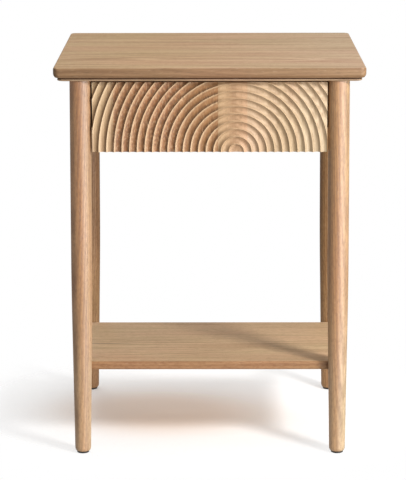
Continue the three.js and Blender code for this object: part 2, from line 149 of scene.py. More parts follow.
def away_from(nodes, links, place, middle, stretch, near, far):
    """0 inside an oval round middle, rising smoothly to 1 outside it."""
    shift = nodes.new("ShaderNodeVectorMath")
    shift.operation = "SUBTRACT"
    shift.inputs[1].default_value = middle
    scale = nodes.new("ShaderNodeVectorMath")
    scale.operation = "MULTIPLY"
    scale.inputs[1].default_value = stretch
    length = nodes.new("ShaderNodeVectorMath")
    length.operation = "LENGTH"
    fade = nodes.new("ShaderNodeMapRange")
    fade.interpolation_type = "SMOOTHSTEP"
    fade.inputs["From Min"].default_value = near
    fade.inputs["From Max"].default_value = far
    links.new(place, shift.inputs[0])
    links.new(shift.outputs[0], scale.inputs[0])
    links.new(scale.outputs[0], length.inputs[0])
    links.new(length.outputs["Value"], fade.inputs["Value"])
    return fade.outputs[0]


def make_floor():
    """A pale round floor with a painted warm shadow under the table, that fades out into the white
    studio away from the table.
    """
    mesh = bpy.data.meshes.new("floor")
    corners = [
        (FLOOR_RADIUS * math.cos(a), FLOOR_RADIUS * math.sin(a), 0.0)
        for a in [2 * math.pi * i / FLOOR_SIDES for i in range(FLOOR_SIDES)]
    ]
    mesh.from_pydata(corners, [], [range(FLOOR_SIDES)])
    floor = bpy.data.objects.new("floor", mesh)
    bpy.context.scene.collection.objects.link(floor)
    material = bpy.data.materials.new("floor")
    material.use_nodes = True
    nodes, links = material.node_tree.nodes, material.node_tree.links
    paint = nodes["Principled BSDF"]
    paint.inputs["Roughness"].default_value = FLOOR_ROUGH
    paint.inputs["Specular IOR Level"].default_value = FLOOR_GLOSS
    paint.inputs["Emission Strength"].default_value = FLOOR_GLOW
    clear = nodes.new("ShaderNodeBsdfTransparent")
    place = nodes.new("ShaderNodeTexCoord").outputs["Object"]
    # the painted warm shadow under the table, in both the floor's colour and its glow
    outside_painted_shadow = away_from(nodes, links, place, FLOOR_WARM_SHADOW_MIDDLE, FLOOR_WARM_SHADOW_STRETCH,
                     FLOOR_WARM_SHADOW_FROM, FLOOR_WARM_SHADOW_TO)
    gone = away_from(nodes, links, place, FLOOR_MIDDLE, FLOOR_STRETCH,
                     FLOOR_FADE_FROM, FLOOR_FADE_TO)
    colour = nodes.new("ShaderNodeMix")
    colour.data_type = "RGBA"
    sockets = [s for s in colour.inputs if s.type == "RGBA"]
    sockets[0].default_value = FLOOR_WARM_SHADOW
    sockets[1].default_value = FLOOR_COLOUR
    mixed = [s for s in colour.outputs if s.type == "RGBA"][0]
    mix = nodes.new("ShaderNodeMixShader")
    links.new(outside_painted_shadow, colour.inputs["Factor"])
    links.new(mixed, paint.inputs["Base Color"])
    links.new(mixed, paint.inputs["Emission Color"])
    links.new(gone, mix.inputs["Fac"])
    links.new(paint.outputs[0], mix.inputs[1])
    links.new(clear.outputs[0], mix.inputs[2])
    links.new(mix.outputs[0], nodes["Material Output"].inputs["Surface"])
    mesh.materials.append(material)


# ------------------------------------------------------------------ materials
class Shader:
    """A material's node tree, with short calls for the nodes that wood and metal share."""

    def __init__(self, name):
        self.material = bpy.data.materials.new(name)
        self.material.use_nodes = True
        self.tree = self.material.node_tree
        self.surface = self.tree.nodes["Principled BSDF"]

    def node(self, kind, **settings):
        made = self.tree.nodes.new("ShaderNode" + kind)
        for key, value in settings.items():
            setattr(made, key, value)
        return made

    def link(self, source, target):
        self.tree.links.new(source, target)

    def put(self, socket, value):
        """value is a number, a tuple or another node's output."""
        if isinstance(value, bpy.types.NodeSocket):
            self.link(value, socket)
        else:
            socket.default_value = value

    def math(self, operation, a, b=0.0, c=0.0):
        made = self.node("Math", operation=operation)
        for socket, value in zip(made.inputs, (a, b, c)):
            self.put(socket, value)
        return made.outputs[0]

    def times(self, a, b):
        return self.math("MULTIPLY", a, b)

    def hypotenuse(self, a, b):
        return self.math("SQRT", self.math("ADD", self.times(a, a), self.times(b, b)))

    def stretched(self, scale, offset=(0.0, 0.0, 0.0)):
        """The place on the piece, scaled along each axis."""
        place = self.node("TexCoord").outputs["Object"]
        made = self.node("Mapping")
        self.put(made.inputs["Vector"], place)
        made.inputs["Scale"].default_value = scale
        made.inputs["Location"].default_value = offset
        return made.outputs[0]

    def noise(self, vector, detail=2.0, rough=0.5):
        made = self.node("TexNoise")
        self.put(made.inputs["Vector"], vector)
        made.inputs["Scale"].default_value = 1.0
        made.inputs["Detail"].default_value = detail
        made.inputs["Roughness"].default_value = rough
        return made.outputs["Fac"]

    def ramp(self, value, stops, interpolation="LINEAR"):
        made = self.node("ValToRGB")
        made.color_ramp.interpolation = interpolation
        elements = made.color_ramp.elements
        while len(elements) < len(stops):
            elements.new(0.5)
        for element, (position, colour) in zip(elements, stops):
            element.position = position
            element.color = (*colour, 1.0)
        self.put(made.inputs["Fac"], value)
        return made.outputs["Color"]

    def remap(self, value, low, high, to_low=0.0, to_high=1.0, smooth=False):
        made = self.node("MapRange")
        made.interpolation_type = "SMOOTHSTEP" if smooth else "LINEAR"
        for socket, number in zip(made.inputs[1:5], (low, high, to_low, to_high)):
            socket.default_value = number
        self.put(made.inputs["Value"], value)
        return made.outputs[0]

    def mix(self, factor, a, b, blend="MIX"):
        made = self.node("Mix", data_type="RGBA", blend_type=blend)
        self.put(made.inputs["Factor"], factor)
        colours = [s for s in made.inputs if s.type == "RGBA"]
        self.put(colours[0], a)
        self.put(colours[1], b)
        return [s for s in made.outputs if s.type == "RGBA"][0]

    def cover(self, colour, mark, share, over, blend="MIX"):
        """Lays the colour over on top of colour where mark is, as strongly as share."""
        return self.mix(self.times(mark, share), colour, over, blend)

    def bump(self, height, strength, distance):
        made = self.node("Bump")
        made.inputs["Strength"].default_value = strength
        made.inputs["Distance"].default_value = distance
        self.put(made.inputs["Height"], height)
        self.link(made.outputs[0], self.surface.inputs["Normal"])


AXES = {"x": 0, "y": 1, "z": 2}


def along(grain, lengthwise, across):
    """A scale for each axis: lengthwise on the grain's axis, across on the other two."""
    return tuple(lengthwise if k == AXES[grain] else across for k in range(3))


# How fine each of the oak's noises is: (along the grain, across it), in cycles per metre
SLOW_NOISE = (2.2, 11.0)
FINE_NOISE = (14.0, 90.0)
STREAK_NOISE = (5.0, 150.0)
BROAD_NOISE = (3.0, 46.0)
PATCH_NOISE = (4.5, 17.0)
PORE_NOISE = (75.0, 1900.0)
FLECK_NOISE = (110.0, 420.0)
DASH_NOISE = (22.0, 380.0)
SPECK_NOISE = (150.0, 400.0)
STREAK_DETAIL = 4.0
STREAK_ROUGH = 0.62
SEED_TURNS = (1.0, 0.7, 1.3)

# The values between which a noise turns from no mark to a full mark
LATE_WOOD_RANGE = (0.05, 0.62)
PORE_RANGE = (0.60, 0.72)
FLECK_RANGE = (0.62, 0.74)
DASH_RANGE = (0.60, 0.76)
SPECK_RANGE = (0.49, 0.60)

RING_PUSH = 26.0        # millimetres the slow noise moves the rings, for a figure of 1
RING_SHAKE = mm(2.4)    # how far the fine noise moves them
LATE_WOOD = 0.62        # the part of a year's ring where the wood is darkest

# How much each feature counts in the tone, which runs from light to dark
RING_TONE = 0.26
STREAK_TONE = 0.90
BROAD_TONE = 0.55
DASH_TONE = 0.18

# Colours of the marks, and how strongly they cover the wood
PATCH_TINTS = [(0.32, (0.955, 1.0, 0.93)), (0.50, (0.98, 0.975, 0.94)), (0.68, (1.0, 0.94, 0.93))]
SPECK_TINT = (0.70, 0.62, 0.55, 1.0)
FLECK_COLOUR = (0.82, 0.66, 0.47, 1.0)
FLECK_SHARE = 0.06
PORE_SHADE = 0.45       # of the dark wood's colour
PORE_SHARE = 0.50
TINT_SCALE = 0.5        # ramps hold colours up to 1, so tints are stored this much smaller

# Finish: what rings and pores add to the roughness, and the heights in the bump
RING_DULL = 0.06
PORE_DULL = 0.20
PORE_HEIGHT = -0.8
RING_HEIGHT = -0.25
STREAK_HEIGHT = 0.20
OAK_BUMP = 0.35
OAK_BUMP_DEEP = mm(0.30)


def tint_along(s, colour, where, stops, change):
    """Colour times a tint that changes with where, which runs from 0 to 1."""
    stored = [(position, tinted(tint, (TINT_SCALE,) * 3)) for position, tint in stops]
    colour = s.mix(1.0, colour, s.ramp(where, stored, change), "MULTIPLY")
    grow = 1 / TINT_SCALE
    return s.mix(1.0, colour, (grow, grow, grow, 1.0), "MULTIPLY")


def oak(name, grain, light, dark, seed, pith, ring, figure=1.0, lean=0.0,
        tone_from=0.70, tone_to=1.16, gloss=0.45, rough=0.50, ior=1.5,
        speckle=0.0, tints=(), marks=None):
    """Oiled oak cut from a solid: rings round a pith that runs with the grain, pores and flecks.

    light and dark are the early and late wood, and tone_from and tone_to set how they mix.
    pith is the pith's place across the grain, in metres, ring a year's growth in millimetres,
    figure how much the rings wander, and lean how far the pith goes sideways for each metre
    along the grain, which draws the arches. speckle is how dark the short ray flecks are.
    gloss is the specular level of the oil finish and rough its roughness.
    tints has an (axis, low, high, stops, interpolation) for each axis the colour changes along.
    marks, if given, is a function that adds the marks of one piece to the colour: it is given
    the shader, the colour, the place on the piece, and the broad and patchy noises.
    """
    s = Shader(name)
    start = tuple(seed * turn for turn in SEED_TURNS)

    def grained(scales, detail=2.0, roughness=0.5):
        return s.noise(s.stretched(along(grain, *scales), start), detail, roughness)

    place = s.node("SeparateXYZ")
    s.link(s.node("TexCoord").outputs["Object"], place.inputs[0])
    crossing = [place.outputs[k] for k in range(3) if k != AXES[grain]]
    length = place.outputs[AXES[grain]]

    # rings, pushed about by a slow noise along the board
    a = s.math("MULTIPLY_ADD", length, lean, s.math("SUBTRACT", crossing[0], pith[0]))
    b = s.math("SUBTRACT", crossing[1], pith[1])
    radius = s.hypotenuse(a, b)
    radius = s.math("ADD", radius, s.times(grained(SLOW_NOISE), mm(RING_PUSH * figure)))
    radius = s.math("ADD", radius, s.times(grained(FINE_NOISE), RING_SHAKE))
    turns = s.math("FRACT", s.math("DIVIDE", radius, mm(ring)))
    rings = s.remap(s.math("PINGPONG", turns, LATE_WOOD), *LATE_WOOD_RANGE, smooth=True)

    # long streaks, patches, pores and flecks
    streaks = grained(STREAK_NOISE, STREAK_DETAIL, STREAK_ROUGH)
    broad = grained(BROAD_NOISE)
    patches = grained(PATCH_NOISE)
    pores = s.remap(grained(PORE_NOISE, 1.0), *PORE_RANGE, smooth=True)
    flecks = s.remap(grained(FLECK_NOISE, 1.0), *FLECK_RANGE, smooth=True)
    dashes = s.remap(grained(DASH_NOISE), *DASH_RANGE, smooth=True)

    tone = s.math("MULTIPLY_ADD", rings, RING_TONE, s.times(streaks, STREAK_TONE))
    tone = s.math("MULTIPLY_ADD", broad, BROAD_TONE, tone)
    tone = s.math("MULTIPLY_ADD", dashes, DASH_TONE, tone)
    tone = s.remap(tone, tone_from, tone_to)
    colour = s.mix(tone, (*light, 1.0), (*dark, 1.0))
    for axis, low, high, stops, change in tints:
        where = s.remap(place.outputs[AXES[axis]], low, high)
        colour = tint_along(s, colour, where, stops, change)
    colour = s.mix(1.0, colour, s.ramp(patches, PATCH_TINTS), "MULTIPLY")
    if speckle:
        specks = s.remap(grained(SPECK_NOISE), *SPECK_RANGE, smooth=True)
        colour = s.cover(colour, specks, speckle, SPECK_TINT, "MULTIPLY")
    if marks:
        colour = marks(s, colour, place.outputs, broad, patches)
    colour = s.cover(colour, flecks, FLECK_SHARE, FLECK_COLOUR)
    colour = s.cover(colour, pores, PORE_SHARE, (*tinted(dark, (PORE_SHADE,) * 3), 1.0))
    s.link(colour, s.surface.inputs["Base Color"])

    worn = s.math("MULTIPLY_ADD", rings, RING_DULL, rough)
    s.link(s.math("MULTIPLY_ADD", pores, PORE_DULL, worn), s.surface.inputs["Roughness"])
    s.surface.inputs["Specular IOR Level"].default_value = gloss
    s.surface.inputs["IOR"].default_value = ior
    height = s.math("MULTIPLY_ADD", pores, PORE_HEIGHT, s.times(rings, RING_HEIGHT))
    height = s.math("MULTIPLY_ADD", streaks, STREAK_HEIGHT, height)
    s.bump(height, OAK_BUMP, OAK_BUMP_DEEP)
    return s.material


STEEL_LINES = (900.0, 60.0, 900.0)      # cycles per metre: the grain is rolled along y
STEEL_CLOUDS = (30.0, 30.0, 30.0)
STEEL_CLOUD_SHADE = (0.82, 0.82, 0.82)
STEEL_LINES_DULL = 0.18
PLASTIC_GRAIN = (1400.0, 1400.0, 1400.0)
PLASTIC_DARK = (0.012, 0.010, 0.009)
PLASTIC_LIGHT = (0.030, 0.026, 0.022)
PLASTIC_ROUGH = 0.62


def steel(name, colour, rough):
    """Zinc-plated steel with a fine rolled grain."""
    s = Shader(name)
    lines = s.noise(s.stretched(STEEL_LINES))
    clouds = s.noise(s.stretched(STEEL_CLOUDS), 3.0)
    shade = s.ramp(clouds, [(0.3, tinted(colour, STEEL_CLOUD_SHADE)), (0.7, colour)])
    s.link(shade, s.surface.inputs["Base Color"])
    s.surface.inputs["Metallic"].default_value = 1.0
    s.link(s.math("MULTIPLY_ADD", lines, STEEL_LINES_DULL, rough), s.surface.inputs["Roughness"])
    s.bump(lines, 0.15, mm(0.05))
    return s.material


def black_plastic(name):
    """Dark moulded plastic with a faint grain."""
    s = Shader(name)
    grain = s.noise(s.stretched(PLASTIC_GRAIN))
    shade = s.ramp(grain, [(0.3, PLASTIC_DARK), (0.7, PLASTIC_LIGHT)])
    s.link(shade, s.surface.inputs["Base Color"])
    s.surface.inputs["Roughness"].default_value = PLASTIC_ROUGH
    s.bump(grain, 0.3, mm(0.10))
    return s.material


# ------------------------------------------------------------------ mesh helpers
# Edges that turn by more than this stay sharp in the shading
CREASE = math.radians(38)
BOARD_CREASE = math.radians(32)
CARVED_CREASE = math.radians(50)
SCREW_CREASE = math.radians(35)


def finish_piece(piece, material, body, nodes, crease=CREASE):
    """Shades the piece, puts it on its body and lets it stand in for the CAD nodes."""
    mesh = piece.data
    mesh.materials.clear()
    mesh.materials.append(material)
    mesh.polygons.foreach_set("use_smooth", [True] * len(mesh.polygons))
    mesh.set_sharp_from_angle(angle=crease)
    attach(piece, body)
    if nodes:
        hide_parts(*nodes)
    return piece


def piece_from(name, build):
    """A new object whose mesh is what build puts into a bmesh."""
    shape = bmesh.new()
    build(shape)
    bmesh.ops.recalc_face_normals(shape, faces=shape.faces)
    mesh = bpy.data.meshes.new(name)
    shape.to_mesh(mesh)
    shape.free()
    piece = bpy.data.objects.new(name, mesh)
    bpy.context.scene.collection.objects.link(piece)
    return piece


def skin(shape, loops):
    """Joins closed loops of points, all the same length, and caps both ends."""
    rings = [[shape.verts.new(p) for p in loop] for loop in loops]
    count = len(rings[0])
    for low, high in zip(rings, rings[1:]):
        for i in range(count):
            j = (i + 1) % count
            shape.faces.new((low[i], low[j], high[j], high[i]))
    shape.faces.new(list(reversed(rings[0])))
    shape.faces.new(rings[-1])


def circle(radius, z, count, centre=(0.0, 0.0)):
    return [
        (centre[0] + radius * math.cos(a), centre[1] + radius * math.sin(a), z)
        for a in [2 * math.pi * i / count for i in range(count)]
    ]


def cut_away(piece, cutters):
    """Takes the cutters out of the piece, then throws the cutters away."""
    for cutter in cutters:
        modifier = piece.modifiers.new("cut", "BOOLEAN")
        modifier.operation = "DIFFERENCE"
        modifier.solver = "EXACT"
        modifier.object = cutter
    bpy.context.view_layer.update()
    ready = piece.evaluated_get(bpy.context.evaluated_depsgraph_get())
    mesh = bpy.data.meshes.new_from_object(ready)
    piece.modifiers.clear()
    piece.data = mesh
    for cutter in cutters:
        bpy.data.objects.remove(cutter)


# ------------------------------------------------------------------ legs and glides
LEG_PLACES = ("front_left", "front_right", "back_left", "back_right")
LEG_R = mm(15.6)
LEG_FOOT_R = mm(12.0)
LEG_END_R = mm(9.6)
LEG_TAPER_Z = mm(260.0)
LEG_FOOT_Z = mm(9.0)
LEG_LEAN = 0.0068
LEG_TAPER_SOFT = mm(45.0)   # half the height over which the taper blends into the straight part
LEG_SIDES = 72
LEG_STEPS = 42
FOOT_STEPS = 8
PAD_R = mm(9.2)
PAD_THICK = mm(3.0)
PAD_EDGE_R = mm(0.8)
PAD_EDGE_STEPS = 4
PAD_TOP_EDGE = mm(0.3)
PAD_DISH_DEEP = mm(0.4)     # the middle of the pad's underside is hollow
PAD_DISH_IN = mm(3.0)
PAD_DISH_RIM_IN = mm(2.4)
PAD_SIDES = 48
SEAT = mm(0.3)              # gap between two pieces that touch


def leg_radius(z):
    """Radius of the leg at height z: round foot, long taper, then straight."""
    if z < LEG_FOOT_Z:
        t = max(0.0, (z - PAD_THICK) / (LEG_FOOT_Z - PAD_THICK))
        return LEG_END_R + (LEG_FOOT_R - LEG_END_R) * math.sqrt(1 - (1 - t) ** 2)
    t = (z - LEG_FOOT_Z) / (LEG_TAPER_Z - LEG_FOOT_Z)
    if z > LEG_TAPER_Z + LEG_TAPER_SOFT:
        return LEG_R
    straight = LEG_FOOT_R + (LEG_R - LEG_FOOT_R) * min(t, 1.0)
    if z < LEG_TAPER_Z - LEG_TAPER_SOFT:
        return straight
    u = (z - LEG_TAPER_Z + LEG_TAPER_SOFT) / (2 * LEG_TAPER_SOFT)
    slope = (LEG_R - LEG_FOOT_R) / (LEG_TAPER_Z - LEG_FOOT_Z)
    start = LEG_R - slope * LEG_TAPER_SOFT
    return start + slope * 2 * LEG_TAPER_SOFT * (u - u * u / 2)


def leg_axis(node):
    """(side, x of the axis at the top, y of the axis, z of the top end) of a CAD leg."""
    low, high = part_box(node)
    side = 1 if low.x > 0 else -1
    inner = low.x if side > 0 else high.x
    return side, inner + side * LEG_R, (low.y + high.y) / 2, high.z


def leg_heights(top):
    """Heights of a leg's own circles, from its foot up to its top end."""
    foot = [
        PAD_THICK + SEAT + (LEG_FOOT_Z - PAD_THICK) * (1 - math.cos(k * math.pi / 2 / FOOT_STEPS))
        for k in range(FOOT_STEPS)
    ]
    shaft = [LEG_FOOT_Z + (top - LEG_FOOT_Z) * k / LEG_STEPS for k in range(LEG_STEPS)]
    return foot + shaft + [top]


def leg_loops(node, heights=None, grow=0.0):
    """Circles up the leg at the heights given, or at all of its own, grown by grow."""
    side, x_top, y, top = leg_axis(node)
    loops = []
    for z in heights or leg_heights(top):
        x = x_top + side * LEG_LEAN * (top - z)
        loops.append(circle(leg_radius(z) + grow, z, LEG_SIDES, (x, y)))
    return loops


def make_legs(materials):
    for place in LEG_PLACES:
        node = "leg_" + place
        piece = piece_from("turned_leg_" + place, lambda shape: skin(shape, leg_loops(node)))
        finish_piece(piece, materials[place], "table", [node])


def make_pads(material):
    for place in LEG_PLACES:
        node = "glide_pad_" + place
        low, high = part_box(node)
        centre = ((low.x + high.x) / 2, (low.y + high.y) / 2)
        profile = [(PAD_R - PAD_DISH_IN, PAD_DISH_DEEP), (PAD_R - PAD_DISH_RIM_IN, 0.0)]
        for k in range(PAD_EDGE_STEPS + 1):
            a = k / PAD_EDGE_STEPS * math.pi / 2
            profile.append((PAD_R - PAD_EDGE_R + PAD_EDGE_R * math.sin(a),
                            PAD_EDGE_R - PAD_EDGE_R * math.cos(a)))
        profile += [(PAD_R, PAD_THICK - PAD_TOP_EDGE), (PAD_R - PAD_TOP_EDGE, PAD_THICK)]

        def build(shape):
            skin(shape, [circle(r, low.z + z, PAD_SIDES, centre) for r, z in profile])

        piece = piece_from("glide_" + place, build)
        finish_piece(piece, material, "table", [node])


# ------------------------------------------------------------------ top panel
TOP_CORNER_R = mm(9.0)
TOP_CORNER_LEAST = mm(8.0)
TOP_CORNER_STEPS = 12
# the edge's profile, in millimetres, with heights above the underside
TOP_UNDERCUT = 9.5      # how far the round-over runs in at the underside
TOP_UNDER_POWER = 2.1   # how quickly it turns upright
TOP_FACE_LOW = 12.0     # where the round-over meets the upright face
TOP_GROOVE_LOW = 3.0
TOP_GROOVE_HIGH = 5.4
TOP_GROOVE_DEEP = 2.4
TOP_ARRIS = 2.2
TOP_LIP_IN = 0.4        # the lip under the groove stands this far back from the round-over
TOP_LIP_ROUND = 1.6
TOP_LIP_SHORT = 0.3     # the lip ends this far under the groove
LIP_STEPS = 5
GROOVE_STEPS = 6
UNDER_STEPS = 10
ARRIS_STEPS = 6
TOP_EDGE_MAX_NORMAL_Z = 0.80    # flatter faces than this belong to the top surface
ANY_STEEPNESS = 1.1             # takes in every face


def under_inset(z):
    """How far the round-over under the top runs in at height z above the underside."""
    return TOP_UNDERCUT * max(0.0, 1 - z / TOP_FACE_LOW) ** TOP_UNDER_POWER


def top_profile(thick):
    """(inset from the outline, height above the underside), from the underside up to the top."""
    points = [(TOP_UNDERCUT, 0.0)]
    lip = under_inset(TOP_GROOVE_LOW) + TOP_LIP_IN
    for k in range(1, LIP_STEPS + 1):
        a = k / LIP_STEPS * math.pi / 2
        points.append((lip + (TOP_UNDERCUT - lip) * (1 - math.sin(a)),
                       TOP_LIP_ROUND * (1 - math.cos(a))))
    points.append((lip, TOP_GROOVE_LOW - TOP_LIP_SHORT))
    middle = (TOP_GROOVE_LOW + TOP_GROOVE_HIGH) / 2
    half = (TOP_GROOVE_HIGH - TOP_GROOVE_LOW) / 2
    for k in range(GROOVE_STEPS + 1):
        a = math.pi * k / GROOVE_STEPS
        base = lip + (under_inset(TOP_GROOVE_HIGH) - lip) * k / GROOVE_STEPS
        points.append((base + TOP_GROOVE_DEEP * math.sin(a), middle - half * math.cos(a)))
    for k in range(1, UNDER_STEPS + 1):
        z = TOP_GROOVE_HIGH + (TOP_FACE_LOW - TOP_GROOVE_HIGH) * k / UNDER_STEPS
        points.append((under_inset(z), z))
    for k in range(ARRIS_STEPS + 1):
        a = k / ARRIS_STEPS * math.pi / 2
        points.append((TOP_ARRIS * (1 - math.cos(a)), thick - TOP_ARRIS * (1 - math.sin(a))))
    return [(mm(i), mm(h)) for i, h in points]


def edge_faces(piece, material, low_z, high_z, steepest=TOP_EDGE_MAX_NORMAL_Z):
    """Gives the upright faces between two heights their own material."""
    mesh = piece.data
    mesh.materials.append(material)
    index = len(mesh.materials) - 1
    for face in mesh.polygons:
        if abs(face.normal.z) < steepest and low_z < face.center.z < high_z:
            face.material_index = index


def make_top(material, edge_wood_and_shade_material, groove_shade_material, lit_lip_material):
    low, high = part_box("top_panel")
    middle = (low + high) / 2

    def outline(inset, z):
        r = max(TOP_CORNER_R - inset, TOP_CORNER_LEAST)
        a = (high.x - low.x) / 2 - inset - r
        b = (high.y - low.y) / 2 - inset - r
        points = []
        for corner in range(4):
            cx = a if corner in (0, 3) else -a
            cy = b if corner < 2 else -b
            for i in range(TOP_CORNER_STEPS + 1):
                angle = (corner + i / TOP_CORNER_STEPS) * math.pi / 2
                points.append((middle.x + cx + r * math.cos(angle),
                               middle.y + cy + r * math.sin(angle), z))
        return points

    thick = (high.z - low.z) * 1000
    loops = [outline(inset, low.z + h) for inset, h in top_profile(thick)]
    piece = piece_from("table_top", lambda shape: skin(shape, loops))
    finish_piece(piece, material, "table", ["top_panel"], BOARD_CREASE)
    groove = low.z + mm(TOP_GROOVE_HIGH)
    # upright edge faces get darker wood with painted shade, the groove gets painted shade, the lip
    # painted light
    edge_faces(piece, edge_wood_and_shade_material, groove, high.z)
    edge_faces(piece, groove_shade_material, low.z + mm(TOP_GROOVE_LOW), groove, ANY_STEEPNESS)
    edge_faces(piece, lit_lip_material, low.z, low.z + mm(TOP_GROOVE_LOW))


# ------------------------------------------------------------------ lower shelf
SHELF_ROUND = mm(2.2)
SHELF_ROUND_STEPS = 6
CUT_PAST = mm(20)       # how far a cutter goes past the piece it cuts
STAIN_IN = mm(34)       # middle of the dark streak, from the shelf's left end
STAIN_BACK = 0.56       # its distance from the back edge, as a part of the shelf's depth
STAIN_HALF_LONG = mm(62)
STAIN_HALF_WIDE = mm(4.5)
STAIN_WANDER = mm(5.0)
STAIN_COLOUR = (0.17, 0.11, 0.065, 1.0)
STAIN_SHARE = 0.62


def shelf_stain():
    """Marks for the shelf's oak: a dark mineral streak that runs in from the left end."""
    low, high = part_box("lower_shelf")
    middle_x = low.x + STAIN_IN
    middle_y = high.y - STAIN_BACK * (high.y - low.y)

    def marks(s, colour, place, broad, patches):
        wander = s.math("MULTIPLY_ADD", broad, STAIN_WANDER, place[1])
        off_y = s.math("ABSOLUTE", s.math("SUBTRACT", wander, middle_y + STAIN_WANDER / 2))
        off_x = s.math("ABSOLUTE", s.math("SUBTRACT", place[0], middle_x))
        mark = s.times(s.remap(off_y, STAIN_HALF_WIDE, 0.0, smooth=True),
                       s.remap(off_x, STAIN_HALF_LONG, 0.0, smooth=True))
        return s.cover(colour, mark, STAIN_SHARE, STAIN_COLOUR)

    return marks


def make_shelf(material, edge_wood_and_shade_material):
    low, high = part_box("lower_shelf")
    size = high - low

    def build(shape):
        bmesh.ops.create_cube(shape, size=1.0)
        bmesh.ops.scale(shape, vec=size, verts=shape.verts)
        bmesh.ops.translate(shape, vec=(low + high) / 2, verts=shape.verts)
        bmesh.ops.bevel(shape, geom=shape.edges[:], offset=SHELF_ROUND,
                        segments=SHELF_ROUND_STEPS, profile=0.5, affect="EDGES")

    piece = piece_from("shelf", build)
    cutters = []
    for place in ("front_left", "front_right"):
        bottom = low.z - CUT_PAST
        top = high.z + CUT_PAST
        loops = leg_loops("leg_" + place, [bottom, (bottom + top) / 2, top], SEAT)
        cutters.append(piece_from("cutter", lambda shape: skin(shape, loops)))
    cut_away(piece, cutters)
    finish_piece(piece, material, "table", ["lower_shelf"], BOARD_CREASE)
    # the edge faces get darker wood with painted shade
    edge_faces(piece, edge_wood_and_shade_material, low.z, high.z)


# ------------------------------------------------------------------ carved drawer front
RING_PITCH = mm(11.18)
RING_Z = mm(465.0)
RING_DEPTH = mm(3.6)
RING_X = mm(38.8)
RING_STEPS = 9          # points across one hollow
TURN_STEPS = 420        # points round the half circle
HUB_R = mm(0.4)         # the smallest half circle of points
SPREAD = math.radians(1.5)      # how far the half circle of points goes past level
PAST_EDGE = mm(1.0)     # how far the carving is drawn past the lower edge
TRIM_DIST = 1e-7
CHIP_STAVE = (-141.5, 11.8)     # the redder stave, in millimetres, whose ridges are torn
TEAR_NARROW = 2.6       # a tear fades out at the pitch over this, away from its ridge
TEAR_X = 520            # how fine the tears are, in cycles per metre
TEAR_Z = 130
TEAR_FROM = 0.04
TEAR_DEEP = mm(2.8)

# painted highlight on the ridges and on the hollows' flanks that face the lights, and the paler
# fibre of torn wood
FRESH_WOOD_AND_HIGHLIGHT = (0.74, 0.57, 0.37, 1.0)
# painted shade on the hollows' flanks that face away from the lights
HOLLOW_SHADE = (0.15, 0.078, 0.036, 1.0)
# painted shade in the torn notches along the ridges
NOTCH_SHADE = (0.20, 0.105, 0.055, 1.0)
TORN_NOISE = (430.0, 1.0, 190.0)
# where the marks begin and are full, on the way from a hollow's inner ridge (0) to its outer (1)
OUTER_RANGE = (0.66, 0.96)
SHADE_RANGE = (0.38, 0.02)
TORN_RANGE = (0.92, 0.70)
RIDGE_RANGE = (0.28, 0.50)      # from the middle of the hollow
# the noise values between which torn wood begins and is full
TORN_PATCH_RANGE = (0.42, 0.60)
TORN_LEAST = 0.35
SPLINTER_RANGE = (0.47, 0.37)
NOTCH_RANGE = (0.52, 0.62)
# how strongly each mark covers: the two painted highlights, the painted shade, the splinters, and
# the notches of painted shade
RIDGE_HIGHLIGHT_SHARE = 0.20
OUTER_HIGHLIGHT_SHARE = 0.50
SHADE_SHARE = 0.82
SPLINTER_SHARE = 0.24
NOTCH_SHARE = 0.80


def carving_marks(s, colour, place, broad, patches):
    """Marks for the carved oak: pale ridges of painted highlight, and on the redder staves painted
    highlight and shade across the hollows, and torn wood whose notches hold painted shade.
    """
    out = s.hypotenuse(s.math("SUBTRACT", place[0], RING_X), s.math("SUBTRACT", place[2], RING_Z))
    step = s.math("FRACT", s.math("DIVIDE", out, RING_PITCH))
    red = s.math("LESS_THAN", place[0], mm(CHIP_STAVE[1]))
    # painted highlight on every ridge, and left of the middle on each hollow's outer flank, which
    # faces the lights
    ridge = s.remap(s.math("ABSOLUTE", s.math("SUBTRACT", step, 0.5)), *RIDGE_RANGE, smooth=True)
    outer = s.times(s.remap(step, *OUTER_RANGE, smooth=True), red)
    pale = s.math("MAXIMUM", s.times(ridge, RIDGE_HIGHLIGHT_SHARE), s.times(outer, OUTER_HIGHLIGHT_SHARE))
    colour = s.mix(pale, colour, FRESH_WOOD_AND_HIGHLIGHT)
    # painted shade left of the middle on each hollow's inner flank, which faces away from the
    # lights
    shade = s.times(s.remap(step, *SHADE_RANGE, smooth=True), red)
    colour = s.cover(colour, shade, SHADE_SHARE, HOLLOW_SHADE)

    torn = s.noise(s.stretched(TORN_NOISE))
    inside = s.times(s.math("GREATER_THAN", place[0], mm(CHIP_STAVE[0])), red)
    inside = s.times(inside, s.remap(step, *TORN_RANGE, smooth=True))
    inside = s.times(inside, s.remap(patches, *TORN_PATCH_RANGE, TORN_LEAST, 1.0, smooth=True))
    splinters = s.times(s.remap(torn, *SPLINTER_RANGE, smooth=True), inside)
    colour = s.cover(colour, splinters, SPLINTER_SHARE, FRESH_WOOD_AND_HIGHLIGHT)
    # notches of painted shade in the torn wood
    notches = s.times(s.remap(torn, *NOTCH_RANGE, smooth=True), inside)
    return s.cover(colour, notches, NOTCH_SHARE, NOTCH_SHADE)


def hollow_depth(distance):
    """Depth of the carving below the ridge tips, at a distance from the middle of the rings."""
    ring = distance / RING_PITCH
    t = ring - math.floor(ring)
    if ring < 1:
        shape = math.sqrt(max(0.0, 1 - t * t))
    else:
        shape = 1 - (2 * t - 1) ** 2
    return RING_DEPTH * shape


def tear(distance, x, z):
    """How far a ridge of the redder stave is torn back."""
    ring = distance / RING_PITCH
    ridge = max(0.0, 1 - abs(ring - round(ring)) * TEAR_NARROW)
    rip = noise.noise(Vector((x * TEAR_X, 0.0, z * TEAR_Z)))
    return TEAR_DEEP * ridge * max(0.0, rip - TEAR_FROM)


